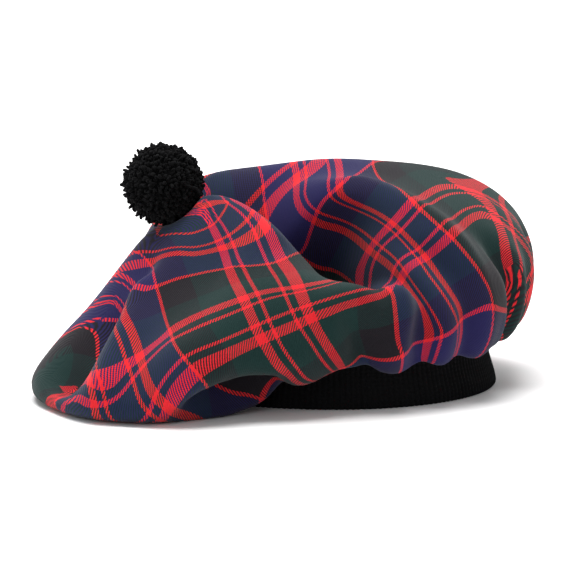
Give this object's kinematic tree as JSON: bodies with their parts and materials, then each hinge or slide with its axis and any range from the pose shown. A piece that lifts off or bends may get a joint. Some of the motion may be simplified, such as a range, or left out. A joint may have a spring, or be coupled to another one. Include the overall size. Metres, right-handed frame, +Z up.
{
  "type": "tam o shanter",
  "caption": "Soft tartan wool tam o'shanter: a wide gathered crown pulled over to one side, a ribbed knit headband and a woollen ball on top.",
  "frame": {"origin": "on the surface that the hat rests on, under the middle of the hat's outline seen from above", "axes": "+Z up, out of the top of the crown; -X towards the side that the crown sags to; -Y towards the side with the deep dent, which the picture is taken from"},
  "size_m": [0.2486, 0.2394, 0.1226],
  "materials": {
    "tartan_cloth": "matte twill",
    "rib_knit": "matte knit",
    "wool_yarn": "matte cut yarn"
  },
  "bodies": {
    "root": {"crown": "tartan_cloth", "headband": "rib_knit", "toorie": "wool_yarn"}
  },
  "joints": []
}
